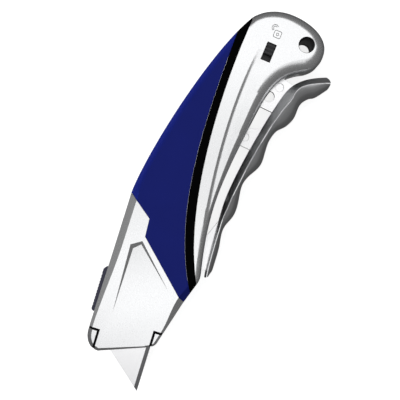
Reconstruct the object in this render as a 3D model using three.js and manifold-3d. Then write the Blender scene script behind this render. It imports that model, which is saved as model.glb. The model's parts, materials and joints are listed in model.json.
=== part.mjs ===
// Squeeze-lever utility knife, lying on its right side with the blade out.
// Millimetres. +X runs along the blade's slide towards the nose, +Y towards the
// squeeze lever, +Z up through the left face. The origin is below the middle.

import * as THREE from 'three';
import { mergeVertices } from 'three/addons/utils/BufferGeometryUtils.js';
import { ConvexGeometry } from 'three/addons/geometries/ConvexGeometry.js';
import Module from 'manifold-3d';

const wasm = await Module();
wasm.setup();

// ---------------------------------------------------------------- dimensions
const THICK = 18;                       // body, face to face
const MID = THICK / 2;                  // height of the parting plane
const EDGE_ROUND = 2.6;                 // rounding of the body's long edges
const WALL = 3;                         // side walls, floor and ceiling
const CENTRE = [-0.2, 0.05];            // puts the bounding box over the origin
const GAP = 0.3;                        // clearance between neighbouring pieces
const SEAM = 0.12;                      // half of a visible joint line

const SKIN = 1.4;                       // soft grip and trim thickness
const NOSE_END = 56.5;                  // front end of the inner cavity

const BLADE = { length: 61, height: 19, thick: 0.6, tipX: 88.5, edgeY: -5.9, angle: 50 };
const TRAVEL = 22.25;                   // carriage stroke, blade out to blade in
const LEVER_SWING = 12;                 // degrees from squeezed to open
const ROCKER_SWING = 76;                // degrees over the same motion

const LEVER_PIVOT = [29.5, 1.8];
const LEVER_Z = [2.5, 15.5];
const PLATE_Z = [8, 10];
const SLOT_Z = [7.7, 10.3];             // belly slot that the lever plate swings in

const DRIVE_HOLE = [-22, -11.8];        // lever plate's slot over the rocker pin
const PIN_R = 1.25;
const ROCKER_Z = [12, 13.8];

const CARRIAGE_Z = [6.2, 8.6];
const CARRIAGE_X = [22, 55];
const CARRIAGE_Y = [-26.5, -5];

const HANG_HOLE = [-77, 20.2];
const HANG_HOLE_R = 3.6;
const BUSH_R = [3.0, 3.4];              // bore and outside of the hang-hole bush

const LOCK = { x: -69.25, y: 5.5, angle: -5.7, window: [8.2, 4.3], travel: 2.7 };

const BUTTON_X = [40, 59.8];
const BUTTON_TOP_Y = -35.4;
const BUTTON_Z = [5.3, 12.7];

const SCREWS = [
  { name: 'case_screw_tail', at: [-80, 9] },
  { name: 'case_screw_waist', at: [-42.5, -2] },
  { name: 'case_screw_belly', at: [-5, -1.6] },
  { name: 'case_screw_lever', at: [47.5, -1.6] },
  { name: 'case_screw_nose', at: [64, -27.8] },
];

// worked out from the swing of the rocker, whose arms are centred on their strokes
const HALF_SWING = THREE.MathUtils.degToRad(ROCKER_SWING / 2);
const PLATE_STROKE = 10.9;              // how far the drive slot moves across the body
const SHORT_ARM = PLATE_STROKE / 2 / Math.sin(HALF_SWING);
const ROCKER_PIVOT = [
  DRIVE_HOLE[0] + SHORT_ARM * Math.cos(HALF_SWING),
  DRIVE_HOLE[1] + PLATE_STROKE / 2,
];
const LONG_ARM = TRAVEL / 2 / Math.tan(HALF_SWING);
const DRIVE_PIN = [ROCKER_PIVOT[0] + TRAVEL / 2, ROCKER_PIVOT[1] - LONG_ARM];

// ---------------------------------------------------------------- finishes
const finish = {
  castSatin: { color: 0xd6d8da, roughness: 0.35, metalness: 0.85 },
  castDark: { color: 0x8e9195, roughness: 0.4, metalness: 0.85 },
  grip: { color: 0x16206a, roughness: 0.6, metalness: 0 },
  black: { color: 0x0b0b0c, roughness: 0.55, metalness: 0 },
  button: { color: 0x3a3852, roughness: 0.5, metalness: 0 },
  steel: { color: 0xc4c7cb, roughness: 0.25, metalness: 1 },
  bladeSteel: { color: 0xe4e6e8, roughness: 0.18, metalness: 1 },
};

// ---------------------------------------------------------------- solid tools
function solid(geometry) {
  geometry.deleteAttribute('normal');
  geometry.deleteAttribute('uv');
  const merged = mergeVertices(geometry, 1e-4);
  return new wasm.Manifold(new wasm.Mesh({
    numProp: 3,
    vertProperties: Float32Array.from(merged.attributes.position.array),
    triVerts: Uint32Array.from(merged.index.array),
  }));
}

function geometryOf(body) {
  const mesh = body.getMesh();
  const geometry = new THREE.BufferGeometry();
  geometry.setAttribute('position', new THREE.BufferAttribute(mesh.vertProperties, 3));
  geometry.setIndex(new THREE.BufferAttribute(mesh.triVerts, 1));
  geometry.computeVertexNormals();
  return geometry;
}

function joined(...bodies) {
  return bodies.reduce((a, b) => a.add(b));
}

// an outline, given as a shape or a list of points, raised between two heights
function slab(outline, [z0, z1], round = 0, steps = 3) {
  const shape = outline instanceof THREE.Shape ? outline : new THREE.Shape(outline);
  const geometry = new THREE.ExtrudeGeometry(shape, {
    depth: z1 - z0 - 2 * round,
    bevelEnabled: round > 0,
    bevelThickness: round,
    bevelSize: round,
    bevelOffset: -round,
    bevelSegments: steps,
    curveSegments: 8,
  });
  geometry.translate(0, 0, z0 + round);
  return solid(geometry);
}

function block([x0, x1], [y0, y1], [z0, z1]) {
  const geometry = new THREE.BoxGeometry(x1 - x0, y1 - y0, z1 - z0);
  geometry.translate((x0 + x1) / 2, (y0 + y1) / 2, (z0 + z1) / 2);
  return solid(geometry);
}

function post([x, y], radius, [z0, z1], sides = 24) {
  const geometry = new THREE.CylinderGeometry(radius, radius, z1 - z0, sides);
  geometry.rotateX(Math.PI / 2);
  geometry.translate(x, y, (z0 + z1) / 2);
  return solid(geometry);
}

// a body turned out of a profile of [radius, height] pairs about a vertical axis
function turned(profile, [x, y], sides = 24) {
  const points = profile.map(([r, z]) => new THREE.Vector2(r, z));
  const geometry = new THREE.LatheGeometry(points, sides);
  geometry.rotateX(Math.PI / 2);
  geometry.translate(x, y, 0);
  return solid(geometry);
}

// a straight bar with round ends, seen from above
function bar([x0, y0], [x1, y1], half) {
  const angle = Math.atan2(y1 - y0, x1 - x0);
  const shape = new THREE.Shape();
  shape.absarc(x1, y1, half, angle - Math.PI / 2, angle + Math.PI / 2);
  shape.absarc(x0, y0, half, angle + Math.PI / 2, angle + 1.5 * Math.PI);
  return shape;
}

// the same outline moved inwards, which is outwards for a negative distance
function inset(points, distance) {
  const turn = Math.sign(THREE.ShapeUtils.area(points));
  return points.map((point, i) => {
    const before = points.at(i - 1);
    const after = points[(i + 1) % points.length];
    const a = point.clone().sub(before).normalize();
    const b = after.clone().sub(point).normalize();
    const mitre = new THREE.Vector2(-a.y - b.y, a.x + b.x).normalize();
    const reach = distance / Math.max(0.5, mitre.dot(new THREE.Vector2(-a.y, a.x)));
    return point.clone().addScaledVector(mitre, reach * turn);
  });
}

function turnedAbout(points, [x, y], degrees) {
  const angle = THREE.MathUtils.degToRad(degrees);
  const centre = new THREE.Vector2(x, y);
  return points.map((point) => point.clone().rotateAround(centre, angle));
}

function vectors(pairs) {
  return pairs.map(([x, y]) => new THREE.Vector2(x, y));
}

// the upper shape repeated below the parting plane
function mirrored(body) {
  return body.mirror([0, 0, 1]).translate([0, 0, THICK]);
}

function upperHalf(body) {
  return body.intersect(block([-120, 120], [-80, 80], [MID, 40]));
}

// ---------------------------------------------------------------- body outlines
// Seen from above. The spine and belly lines run on past the nose, which is cut
// off by a second outline.
function bodyOutline() {
  const shape = new THREE.Shape();
  shape.moveTo(84, -33.7);
  shape.lineTo(5, -33.3);
  shape.bezierCurveTo(-14.6, -31.7, -64, -18.2, -82.3, -5.3);
  shape.bezierCurveTo(-86.2, -1.6, -88.1, 3.6, -88.1, 9.2);
  shape.bezierCurveTo(-88.1, 16.6, -84.4, 28.7, -75.6, 28.7);
  shape.bezierCurveTo(-71.6, 28.7, -69.1, 27.7, -66.5, 23.6);
  shape.bezierCurveTo(-61.6, 11.6, -53.4, 10.2, -36.8, 7.3);
  shape.bezierCurveTo(-24, 4.9, -9, 2.6, 1, 2.6);
  shape.bezierCurveTo(12, 2.6, 22, 4.1, 30.2, 5.7);
  shape.bezierCurveTo(32.4, 6.1, 33.6, 6, 36, 5.1);
  shape.lineTo(44.5, 2.1);
  shape.lineTo(84, -9.4);
  return shape.getPoints(8);
}

function noseOutline() {
  const shape = new THREE.Shape();
  shape.moveTo(-100, -60);
  shape.lineTo(66.5, -60);
  shape.lineTo(66.5, -33.7);
  shape.quadraticCurveTo(74.2, -33.6, 74.9, -27);
  shape.lineTo(67.6, -8.2);
  shape.quadraticCurveTo(66.9, -5, 64.2, -3.6);
  shape.lineTo(64.2, 60);
  shape.lineTo(-100, 60);
  return shape.getPoints(5);
}

// the body's outer form, or the form under a skin of the given depth
function bodyForm(depth = 0) {
  const round = EDGE_ROUND - depth * 0.6;
  const blank = slab(inset(bodyOutline(), depth), [depth, THICK - depth], round);
  return blank.intersect(slab(noseOutline(), [-1, THICK + 1]));
}

// line between the black trim and the metal, from the tail to the belly
function trimRearEdge(shift) {
  const ends = vectors([[-81.7, -5.1], [-49.7, -9.2], [2.4, -10.4], [35.3, 5.2]]);
  const edge = new THREE.CubicBezierCurve(...ends).getPoints(12);
  return [...vectors([[-88, -6]]), ...edge, ...vectors([[37, 9]])].map((p) => moved(p, shift));
}

// line between the soft grip and the black trim, from the tail to the belly
function trimFrontEdge(shift) {
  const ends = vectors([[-73.8, -9.8], [-38.9, -11.8], [7.3, -14.8], [39.4, 3.6]]);
  const edge = new THREE.CubicBezierCurve(...ends).getPoints(12);
  return [...vectors([[-77, -13]]), ...edge, ...vectors([[41.5, 8]])].map((p) => moved(p, shift));
}

function moved(point, shift) {
  return point.clone().add(new THREE.Vector2(0, shift));
}

// stepped front edge of the soft grip, from the belly to the spine
function gripFrontEdge(back) {
  return vectors([
    [44.1, 9], [44.1, 2.2], [42.8, -0.3], [21.9, -21.9], [14, -22.4], [5.9, -32.7], [5.9, -42],
  ]).map((point) => point.sub(new THREE.Vector2(back, 0)));
}

function gripRegion() {
  return [...trimFrontEdge(-SEAM), ...gripFrontEdge(SEAM), ...vectors([[-77, -42]])];
}

function trimRegion() {
  return [...trimRearEdge(-SEAM), ...trimFrontEdge(SEAM).reverse()];
}

// the whole area that the grip and the trim cover
function skinRegion() {
  return [...trimRearEdge(SEAM), ...gripFrontEdge(-SEAM), ...vectors([[-88, -42]])];
}

// ---------------------------------------------------------------- shells
const WHOLE = [-1, THICK + 1];

function metalForm() {
  const bare = bodyForm().subtract(slab(skinRegion(), WHOLE));
  return bare.add(bodyForm(SKIN + GAP));
}

function cavity() {
  const inner = slab(inset(bodyOutline(), WALL), [WALL, THICK - WALL]);
  return inner.intersect(block([-90, NOSE_END], [-50, 40], WHOLE));
}

// wedge-shaped recess in the nose's face, deep at its tail end and running out
function noseRecess() {
  const deep = THICK - 1.3;
  const corners = [[26.9, -26.7], [24.3, -22.4], [41.3, -5.6], [56.8, -25.5]];
  const points = corners.flatMap(([x, y]) => [
    new THREE.Vector3(x, y, THICK),
    new THREE.Vector3(x, y, THICK + 2),
  ]);
  points.push(new THREE.Vector3(28.1, -25.4, deep), new THREE.Vector3(25.9, -22.5, deep));
  return solid(new ConvexGeometry(points));
}

// the two corner pieces of the nose, seen from above
function noseCorner(side, grow) {
  const [x, y, far] = side === 'spine' ? [66.6, -29.7, -60] : [60.4, -5.5, 20];
  const sign = Math.sign(far);
  return block([x - grow, 90], [y - sign * grow, far].sort((a, b) => a - b), WHOLE);
}

function bosses(from, to) {
  const pillars = SCREWS.slice(0, 4).map(({ at }) => post(at, 2.8, [from, to], 16));
  pillars.push(post(HANG_HOLE, HANG_HOLE_R + 1.8, [from, to], 24));
  return joined(...pillars);
}

// ribs on the ceiling of a half, down to the carriage that slides between them
function rails(z0) {
  const z1 = THICK - WALL + 0.5;
  return joined(
    block([4, NOSE_END], [-25.6, -24.2], [z0, z1]),
    block([4, NOSE_END], [-8, -6.6], [z0, z1]),
  );
}

// what both halves have cut out of them around the blade, lever and button
function sharedCuts() {
  return joined(
    block([-65.5, LEVER_PIVOT[0] + 3.8], [-3.5, 30], SLOT_Z),
    block([NOSE_END - 1, 90], [-25.3, -5.6], [MID - 0.6, MID + 0.6]),
    block([38.4, 61], [-30.4, -26.8], [4.4, THICK - 4.4]),
    block([BUTTON_X[0] - GAP, BUTTON_X[1] + GAP], [-40, -30], [BUTTON_Z[0] - GAP, BUTTON_Z[1] + GAP]),
  );
}

function halfShell(form, railHeight) {
  const upper = upperHalf(form);
  const pivotBoss = post(LEVER_PIVOT, 3.2, [SLOT_Z[1], THICK - WALL + 0.5], 20);
  return upper
    .subtract(cavity())
    .subtract(sharedCuts())
    .add(bosses(MID, THICK - WALL + 0.5).intersect(form))
    .add(pivotBoss)
    .add(rails(railHeight))
    .subtract(noseCorner('spine', SEAM * 2))
    .subtract(noseCorner('belly', SEAM * 2))
    .subtract(noseRecess())
    .subtract(post(HANG_HOLE, HANG_HOLE_R, WHOLE, 32))
    .subtract(post(LEVER_PIVOT, 1.8, [MID, THICK - WALL], 16));
}

function leftShell(form) {
  const screwHoles = joined(...SCREWS.map(({ at }) => post(at, 1.5, [MID - 1, 14], 12)));
  return halfShell(form, 10.8).subtract(screwHoles).subtract(lockWindow());
}

function rightShell(form) {
  const screwHoles = joined(...SCREWS.map(({ at }) => joined(
    post(at, 1.5, [-1, MID + 1], 12),
    post(at, 2.2, [-1, 2.4], 16),
  )));
  return mirrored(halfShell(form, THICK - CARRIAGE_Z[0] + GAP)).subtract(screwHoles);
}

function skinPiece(region) {
  const outer = bodyForm().intersect(slab(region, WHOLE));
  const hollow = outer.subtract(bodyForm(SKIN));
  const opening = joined(
    block([-65.5, LEVER_PIVOT[0] + 3.8], [-3.5, 30], SLOT_Z),
    block([BUTTON_X[0] - GAP, BUTTON_X[1] + GAP], [-40, -30], [BUTTON_Z[0] - GAP, BUTTON_Z[1] + GAP]),
  );
  return upperHalf(hollow.subtract(opening));
}

function cornerPiece(side) {
  const piece = bodyForm().intersect(noseCorner(side, -SEAM * 2));
  return piece.subtract(block([NOSE_END, 90], [-25.3, -5.6], [MID - 0.6, MID + 0.6]));
}

function hangBush() {
  const [bore, outside] = BUSH_R;
  const step = bore + 0.2;
  return turned([
    [bore, 3], [step, 3], [step, 0.8], [outside, 0.8], [outside, THICK - 0.8],
    [step, THICK - 0.8], [step, THICK - 3], [bore, THICK - 3], [bore, 3],
  ], HANG_HOLE, 32);
}

function caseScrew(at) {
  return turned([[0, 0.9], [1.9, 0.9], [1.9, 2.3], [1.2, 2.3], [1.2, 13.4], [0, 13.6]], at, 16);
}

// ---------------------------------------------------------------- lock slide
function lockFrame(length, width, [z0, z1], shift = 0) {
  const outline = vectors([
    [-length / 2, -width / 2], [length / 2, -width / 2],
    [length / 2, width / 2], [-length / 2, width / 2],
  ]).map((point) => point.add(new THREE.Vector2(LOCK.x + shift, LOCK.y)));
  return slab(turnedAbout(outline, [LOCK.x, LOCK.y], LOCK.angle), [z0, z1]);
}

function lockWindow() {
  return lockFrame(...LOCK.window, [THICK - WALL - 1, THICK + 1]);
}

function lockSlide() {
  const knobLength = LOCK.window[0] - LOCK.travel - GAP;
  const back = (knobLength - LOCK.window[0] + GAP / 2) / 2;
  const knob = lockFrame(knobLength - GAP / 2, LOCK.window[1] - 2 * GAP, [13.2, THICK - 0.3], back);
  const ribs = [-1.8, -0.6, 0.6, 1.8].map(
    (step) => lockFrame(0.6, LOCK.window[1] - 2 * GAP, [THICK - 1, THICK + 0.3], back + step));
  return joined(lockFrame(11.4, 6.2, [13, 14.7], back), knob, ...ribs);
}

function lockLeaf() {
  const back = -1.5;
  return joined(
    lockFrame(9, 3, [12.5, 12.9], back),
    lockFrame(1.4, 3, [11.9, 12.6], back + 3.6),
  );
}

// ---------------------------------------------------------------- blade release
function releaseButton() {
  const [x0, x1] = BUTTON_X;
  const cap = new THREE.Shape(vectors([
    [x0, -29.6], [x0, -34.3], [x0 + 1.2, BUTTON_TOP_Y],
    [x1 - 1.2, BUTTON_TOP_Y], [x1, -34.3], [x1, -29.6],
  ]));
  const flange = block([x0 - 1, x1 + 0.6], [-30.2, -29.1], [BUTTON_Z[0] - 0.5, BUTTON_Z[1] + 0.5]);
  return joined(slab(cap, BUTTON_Z), flange);
}

function buttonSpring() {
  const outer = new THREE.Shape();
  const [x0, x1] = [44, 56];
  outer.moveTo(x0, -27.3);
  outer.quadraticCurveTo((x0 + x1) / 2, -30.4, x1, -27.3);
  outer.lineTo(x1, -27);
  outer.quadraticCurveTo((x0 + x1) / 2, -30.1, x0, -27);
  return slab(outer, [MID - 2, MID + 2]);
}

// ---------------------------------------------------------------- squeeze lever
function leverOutline() {
  const shape = new THREE.Shape();
  shape.moveTo(-67.3, 33);
  shape.bezierCurveTo(-65.7, 28.4, -63.2, 21.4, -56.6, 18.3);
  shape.bezierCurveTo(-49.6, 15, -14, 6.3, 0.5, 6.4);
  shape.bezierCurveTo(10, 6.5, 20, 6.7, 28.9, 7.4);
  shape.lineTo(31.6, 7.3);
  shape.lineTo(30.8, 9.3);
  shape.lineTo(29, 10.2);
  shape.lineTo(27, 10.3);
  shape.splineThru(vectors([
    [18, 10.2], [12, 9.5], [8, 9.8], [3, 11.8], [-3, 12.5], [-11, 11.9], [-15.6, 13.2],
    [-20.5, 16.1], [-26.5, 17.3], [-34, 17.5], [-38.6, 19.2], [-42, 22.7], [-47, 24.9],
    [-52.7, 25.7], [-56.2, 28.2], [-59, 32.2], [-62.8, 35.3],
  ]));
  shape.quadraticCurveTo(-65.8, 36, -67.3, 33);
  return shape.getPoints(4).slice(0, -1);
}

// steel plate in the lever's groove, with a tail tab, a drive tab and a pivot ear
function plateOutline() {
  const [px, py] = LEVER_PIVOT;
  const shape = new THREE.Shape();
  shape.moveTo(28.4, 8.9);
  shape.bezierCurveTo(20, 8.5, 10, 8.2, 0.5, 8.2);
  shape.bezierCurveTo(-14, 8.2, -49.4, 16.6, -56, 19.8);
  shape.lineTo(-59.3, 22);
  shape.lineTo(-61.4, 16.4);
  shape.quadraticCurveTo(-62.6, 8, -61, -2);
  shape.quadraticCurveTo(-60.2, -6.8, -55, -7.6);
  shape.lineTo(-49, -8.2);
  shape.lineTo(-47.8, -6);
  shape.lineTo(-46.8, 9.6);
  shape.lineTo(-46, 15);
  shape.lineTo(-37.5, 13);
  shape.lineTo(-36.7, 7.8);
  shape.lineTo(-35.6, -5);
  shape.quadraticCurveTo(-34.4, -14.9, -26, -14.9);
  shape.lineTo(-19.6, -14.9);
  shape.quadraticCurveTo(-17.2, -14.8, -17.2, -11.8);
  shape.lineTo(-18.4, -7.6);
  shape.lineTo(-27, 0);
  shape.lineTo(-28.1, 5.5);
  shape.lineTo(-27.4, 10.8);
  shape.bezierCurveTo(-20, 9.2, -8, 7.1, 5.6, 6.8);
  shape.lineTo(13.2, 3.7);
  shape.lineTo(22, 0);
  shape.absarc(px, py, 3.2, -2.2, 0.9);
  shape.lineTo(29.2, 5.6);
  return shape.getPoints(6);
}

const DOWELS = [
  { name: 'lever_dowel_rear', at: [-51, 19], lug: 2.6 },
  { name: 'lever_dowel_front', at: [-31, 13.7], lug: 2.2 },
];

function plateForm(grow, [z0, z1]) {
  const lugs = DOWELS.map(({ at, lug }) => post(at, lug + grow, [z0, z1], 20));
  return joined(slab(inset(plateOutline(), -grow), [z0, z1]), ...lugs);
}

function leverPlate() {
  const [hx, hy] = DRIVE_HOLE;
  return plateForm(0, PLATE_Z)
    .subtract(slab(bar([hx - 1, hy], [hx + 1.9, hy], PIN_R + 0.4), WHOLE))
    .subtract(post([-52.3, 11.6], 2.4, WHOLE, 24))
    .subtract(post([-57.4, 14.8], 1.9, [PLATE_Z[1] - 0.4, 20], 20))
    .subtract(post([-32.2, 6.7], 1.8, [PLATE_Z[1] - 0.4, 20], 20))
    .subtract(post(LEVER_PIVOT, 1.8, WHOLE, 20))
    .subtract(joined(...DOWELS.map(({ at }) => post(at, 1.5, WHOLE, 16))));
}

function leverHandle() {
  const groove = plateForm(GAP, [PLATE_Z[0] - 0.15, PLATE_Z[1] + 0.15]);
  const holes = joined(...DOWELS.map(({ at }) => post(at, 1.5, [4.8, 13.2], 16)));
  return slab(leverOutline(), LEVER_Z, 1, 2).subtract(groove).subtract(holes);
}

// ---------------------------------------------------------------- rocker
// Drawn with its forked long arm straight across the body, then turned by half its swing.
function rockerArm() {
  const [x, y] = ROCKER_PIVOT;
  const farEnd = LONG_ARM / Math.cos(HALF_SWING);
  const forkHalf = PIN_R + 0.8;
  const body = joined(
    slab(bar([0, 0], [0, -farEnd + 1.6], 3.4), ROCKER_Z),
    slab(bar([0, 0], [-SHORT_ARM, 0], 2.1), ROCKER_Z),
  );
  return body
    .subtract(slab(bar([0, -LONG_ARM], [0, -farEnd - 6], forkHalf), WHOLE))
    .subtract(post([0, 0], 2.3, WHOLE, 20))
    .subtract(post([-SHORT_ARM, 0], PIN_R + GAP, WHOLE, 16))
    .rotate([0, 0, ROCKER_SWING / 2])
    .translate([x, y, 0]);
}

// ---------------------------------------------------------------- blade and carriage
function bladeOutline() {
  const { length, height, tipX, edgeY, angle } = BLADE;
  const run = height / Math.tan(THREE.MathUtils.degToRad(angle));
  const back = edgeY - height;
  const middle = tipX - length / 2;
  const shape = new THREE.Shape();
  shape.moveTo(tipX, edgeY);
  shape.lineTo(tipX - length, edgeY);
  shape.lineTo(tipX - length + run, back);
  [middle - 6.5, middle + 6.5].forEach((x) => {
    shape.lineTo(x - 1.4, back);
    shape.lineTo(x - 1.4, back + 2.6);
    shape.lineTo(x + 1.4, back + 2.6);
    shape.lineTo(x + 1.4, back);
  });
  shape.lineTo(tipX - run, back);
  return shape.getPoints();
}

// flat ground facets meet along the cutting edge
function blade() {
  const { length, thick, tipX, edgeY } = BLADE;
  const ground = 1.7;
  const body = slab(bladeOutline(), [MID - thick / 2, MID + thick / 2]);
  const edge = (side) => {
    const face = side * thick / 2;
    const points = [tipX - length - 2, tipX + 2].flatMap((x) => [
      new THREE.Vector3(x, edgeY - ground, MID + face),
      new THREE.Vector3(x, edgeY + 0.5, MID + face * 0.05),
      new THREE.Vector3(x, edgeY + 0.5, MID + face * 3),
      new THREE.Vector3(x, edgeY - ground, MID + face * 3),
    ]);
    return solid(new ConvexGeometry(points));
  };
  return body.subtract(edge(1)).subtract(edge(-1));
}

function bladeCarriage() {
  const [z0, z1] = CARRIAGE_Z;
  const [x0, x1] = CARRIAGE_X;
  const [y0, y1] = CARRIAGE_Y;
  const pocket = slab(inset(bladeOutline(), -GAP), [z1, 20]);
  const lugX = BLADE.tipX - BLADE.length / 2 - 6.5;
  const lugY = BLADE.edgeY - BLADE.height;
  const seat = block([x0, x1], [y0, y1], [z0, MID + 0.3]).subtract(pocket);
  return joined(
    seat,
    block([x0 + 2, x1], [y0, -25.4], [z0, 10.4]),
    block([lugX - 0.9, lugX + 0.9], [lugY - 1, lugY + 2.1], [z0, MID + 0.3]),
    slab(bar(DRIVE_PIN, [x0 + 3, DRIVE_PIN[1]], 2.8), CARRIAGE_Z),
  )
    .subtract(post(DRIVE_PIN, PIN_R + GAP, WHOLE, 16))
    .subtract(post([27.5, -20], 1.2, [MID - 2, 20], 12));
}

function bladeClip() {
  const shape = vectors([[23, -6], [54.5, -6], [54.5, -25], [23, -25]]);
  return slab(shape, [MID + 0.4, MID + 1.2]).subtract(post([27.5, -20], 1.2, WHOLE, 12));
}

function clipScrew() {
  return turned([[0, 7.2], [0.9, 7.2], [0.9, 10.3], [1.9, 10.3], [1.9, 10.9], [0, 10.9]], [27.5, -20], 12);
}

// closed-coil spring from its anchor near the tail to the carriage's arm
function returnSpring() {
  const from = new THREE.Vector3(-58, -12.1, 7.4);
  const to = new THREE.Vector3(DRIVE_PIN[0] - 3.2, DRIVE_PIN[1], 7.4);
  const turns = 17;
  const coilRadius = 1.35;
  class Coil extends THREE.Curve {
    getPoint(t, target = new THREE.Vector3()) {
      const along = to.clone().sub(from);
      const side = new THREE.Vector3(-along.y, along.x, 0).normalize();
      const angle = 2 * Math.PI * turns * t;
      return target.copy(from).addScaledVector(along, t)
        .addScaledVector(side, coilRadius * Math.cos(angle))
        .add(new THREE.Vector3(0, 0, coilRadius * Math.sin(angle)));
    }
  }
  const wire = new THREE.Shape();
  wire.absarc(0, 0, 0.3, 0, 2 * Math.PI);
  return solid(new THREE.ExtrudeGeometry(new THREE.Shape(wire.getPoints(2)), {
    steps: turns * 7,
    extrudePath: new Coil(),
  }));
}

// ---------------------------------------------------------------- assembly
const knife = new THREE.Group();
knife.position.set(...CENTRE, 0);

function place(name, body, look) {
  const mesh = new THREE.Mesh(geometryOf(body), new THREE.MeshStandardMaterial(finish[look]));
  mesh.name = name;
  knife.add(mesh);
}

const form = metalForm();
place('left_shell', leftShell(form), 'castSatin');
place('right_shell', rightShell(form), 'castSatin');
place('left_grip', skinPiece(gripRegion()), 'grip');
place('right_grip', mirrored(skinPiece(gripRegion())), 'grip');
place('left_trim', skinPiece(trimRegion()), 'black');
place('right_trim', mirrored(skinPiece(trimRegion())), 'black');
place('nose_corner_spine', cornerPiece('spine'), 'castSatin');
place('nose_corner_belly', cornerPiece('belly'), 'castSatin');
place('hang_hole_bush', hangBush(), 'black');
SCREWS.forEach(({ name, at }) => place(name, caseScrew(at), 'steel'));
place('lever_pivot_pin', post(LEVER_PIVOT, 1.5, [WALL, THICK - WALL], 16), 'steel');
place('rocker_pivot_pin', post(ROCKER_PIVOT, 2, [WALL, THICK - WALL], 20), 'steel');
place('spring_anchor_pin', post([-60.2, -11.7], 1.2, [WALL, THICK - WALL], 16), 'steel');
place('return_spring', returnSpring(), 'steel');
place('button_spring', buttonSpring(), 'steel');

place('lever_handle', leverHandle(), 'castDark');
place('lever_plate', leverPlate(), 'steel');
DOWELS.forEach(({ name, at }) => place(name, post(at, 1.2, [4.8, 13.2], 16), 'steel'));

place('rocker_arm', rockerArm(), 'steel');
place('rocker_pin', post(DRIVE_HOLE, PIN_R, [7.6, ROCKER_Z[1]], 16), 'steel');

place('blade_carriage', bladeCarriage(), 'castDark');
place('drive_pin', post(DRIVE_PIN, PIN_R, [CARRIAGE_Z[0], 14.2], 16), 'steel');
place('blade_clip', bladeClip(), 'steel');
place('clip_screw', clipScrew(), 'steel');
place('blade', blade(), 'bladeSteel');

place('lock_slide', lockSlide(), 'black');
place('lock_leaf', lockLeaf(), 'steel');
place('blade_release_button', releaseButton(), 'button');

export default knife;
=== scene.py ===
"""A squeeze-lever utility knife, lying on its right side under soft studio light.

Outlines are in millimetres, in the part's own frame: +X towards the nose, +Y towards
the lever, +Z up through the left face. Everything becomes metres in new_mesh.
"""

import json
import math

import bmesh
import bpy
import numpy as np
from mathutils import Matrix, Vector


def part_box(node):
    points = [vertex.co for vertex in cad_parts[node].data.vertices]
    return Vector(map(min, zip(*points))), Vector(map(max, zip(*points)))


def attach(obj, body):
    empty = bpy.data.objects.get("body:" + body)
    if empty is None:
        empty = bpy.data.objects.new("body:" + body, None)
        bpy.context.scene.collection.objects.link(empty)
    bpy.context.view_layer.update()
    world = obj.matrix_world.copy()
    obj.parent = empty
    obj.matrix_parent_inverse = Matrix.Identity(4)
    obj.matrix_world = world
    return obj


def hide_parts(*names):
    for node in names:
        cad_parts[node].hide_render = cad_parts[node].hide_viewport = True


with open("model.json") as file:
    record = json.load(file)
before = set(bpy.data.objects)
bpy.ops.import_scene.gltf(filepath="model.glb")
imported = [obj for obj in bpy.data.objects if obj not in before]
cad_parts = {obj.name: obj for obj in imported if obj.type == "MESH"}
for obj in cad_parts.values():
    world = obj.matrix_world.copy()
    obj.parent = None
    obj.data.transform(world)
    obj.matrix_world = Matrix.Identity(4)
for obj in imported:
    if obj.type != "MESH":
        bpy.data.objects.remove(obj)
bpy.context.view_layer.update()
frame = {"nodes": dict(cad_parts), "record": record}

# ---------------------------------------------------------------- driving sizes
MM = 0.001
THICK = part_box("left_shell")[1][2] / MM
MID = THICK / 2
CENTRE = Vector((-0.2, 0.05, 0))        # moves the outlines over the frame's origin
WALL = 3.0
SKIN = 1.4
SEAM = 0.07                             # half of a visible joint line
EDGE_ROWS = 9
OUTLINE_STEP = 0.9

LEVER_PIVOT = (29.5, 1.8)
HANG_HOLE = (-77, 20.2)
HANG_HOLE_R = 3.55
LOCK = {"x": -69.25, "y": 5.5, "angle": math.radians(-5.7), "size": (8.2, 4.3), "travel": 2.7}
BUTTON_X = (40, 59.8)
BUTTON_Z = (5.3, 12.7)
SCREWS = {
    "case_screw_tail": (-80, 9),
    "case_screw_waist": (-42.5, -2),
    "case_screw_belly": (-5, -1.6),
    "case_screw_lever": (47.5, -1.6),
    "case_screw_nose": (64, -27.8),
}


# ---------------------------------------------------------------- mesh tools
KEPT = list(frame["nodes"].values())    # every mesh that stays in the scene


def new_mesh(name, verts, faces):
    """A mesh object from points in millimetres."""
    mesh = bpy.data.meshes.new(name)
    mesh.from_pydata([(Vector(v) + CENTRE) * MM for v in verts], [], faces)
    obj = bpy.data.objects.new(name, mesh)
    bpy.context.scene.collection.objects.link(obj)
    face_out(obj)
    return obj


def face_out(obj):
    bm = bmesh.new()
    bm.from_mesh(obj.data)
    bmesh.ops.remove_doubles(bm, verts=bm.verts, dist=0.001 * MM)
    bmesh.ops.recalc_face_normals(bm, faces=bm.faces)
    bm.to_mesh(obj.data)
    bm.free()


def prism(points, z0, z1, name="prism"):
    n = len(points)
    verts = [(x, y, z) for z in (z0, z1) for x, y in points]
    faces = [tuple(reversed(range(n))), tuple(range(n, 2 * n))]
    faces += [(i, (i + 1) % n, n + (i + 1) % n, n + i) for i in range(n)]
    return new_mesh(name, verts, faces)


def block(xs, ys, zs):
    return prism([(xs[0], ys[0]), (xs[1], ys[0]), (xs[1], ys[1]), (xs[0], ys[1])], *zs)


def disc(at, radius, zs, sides=48):
    ring = [2 * math.pi * i / sides for i in range(sides)]
    return prism([(at[0] + radius * math.cos(a), at[1] + radius * math.sin(a)) for a in ring], *zs)


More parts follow.
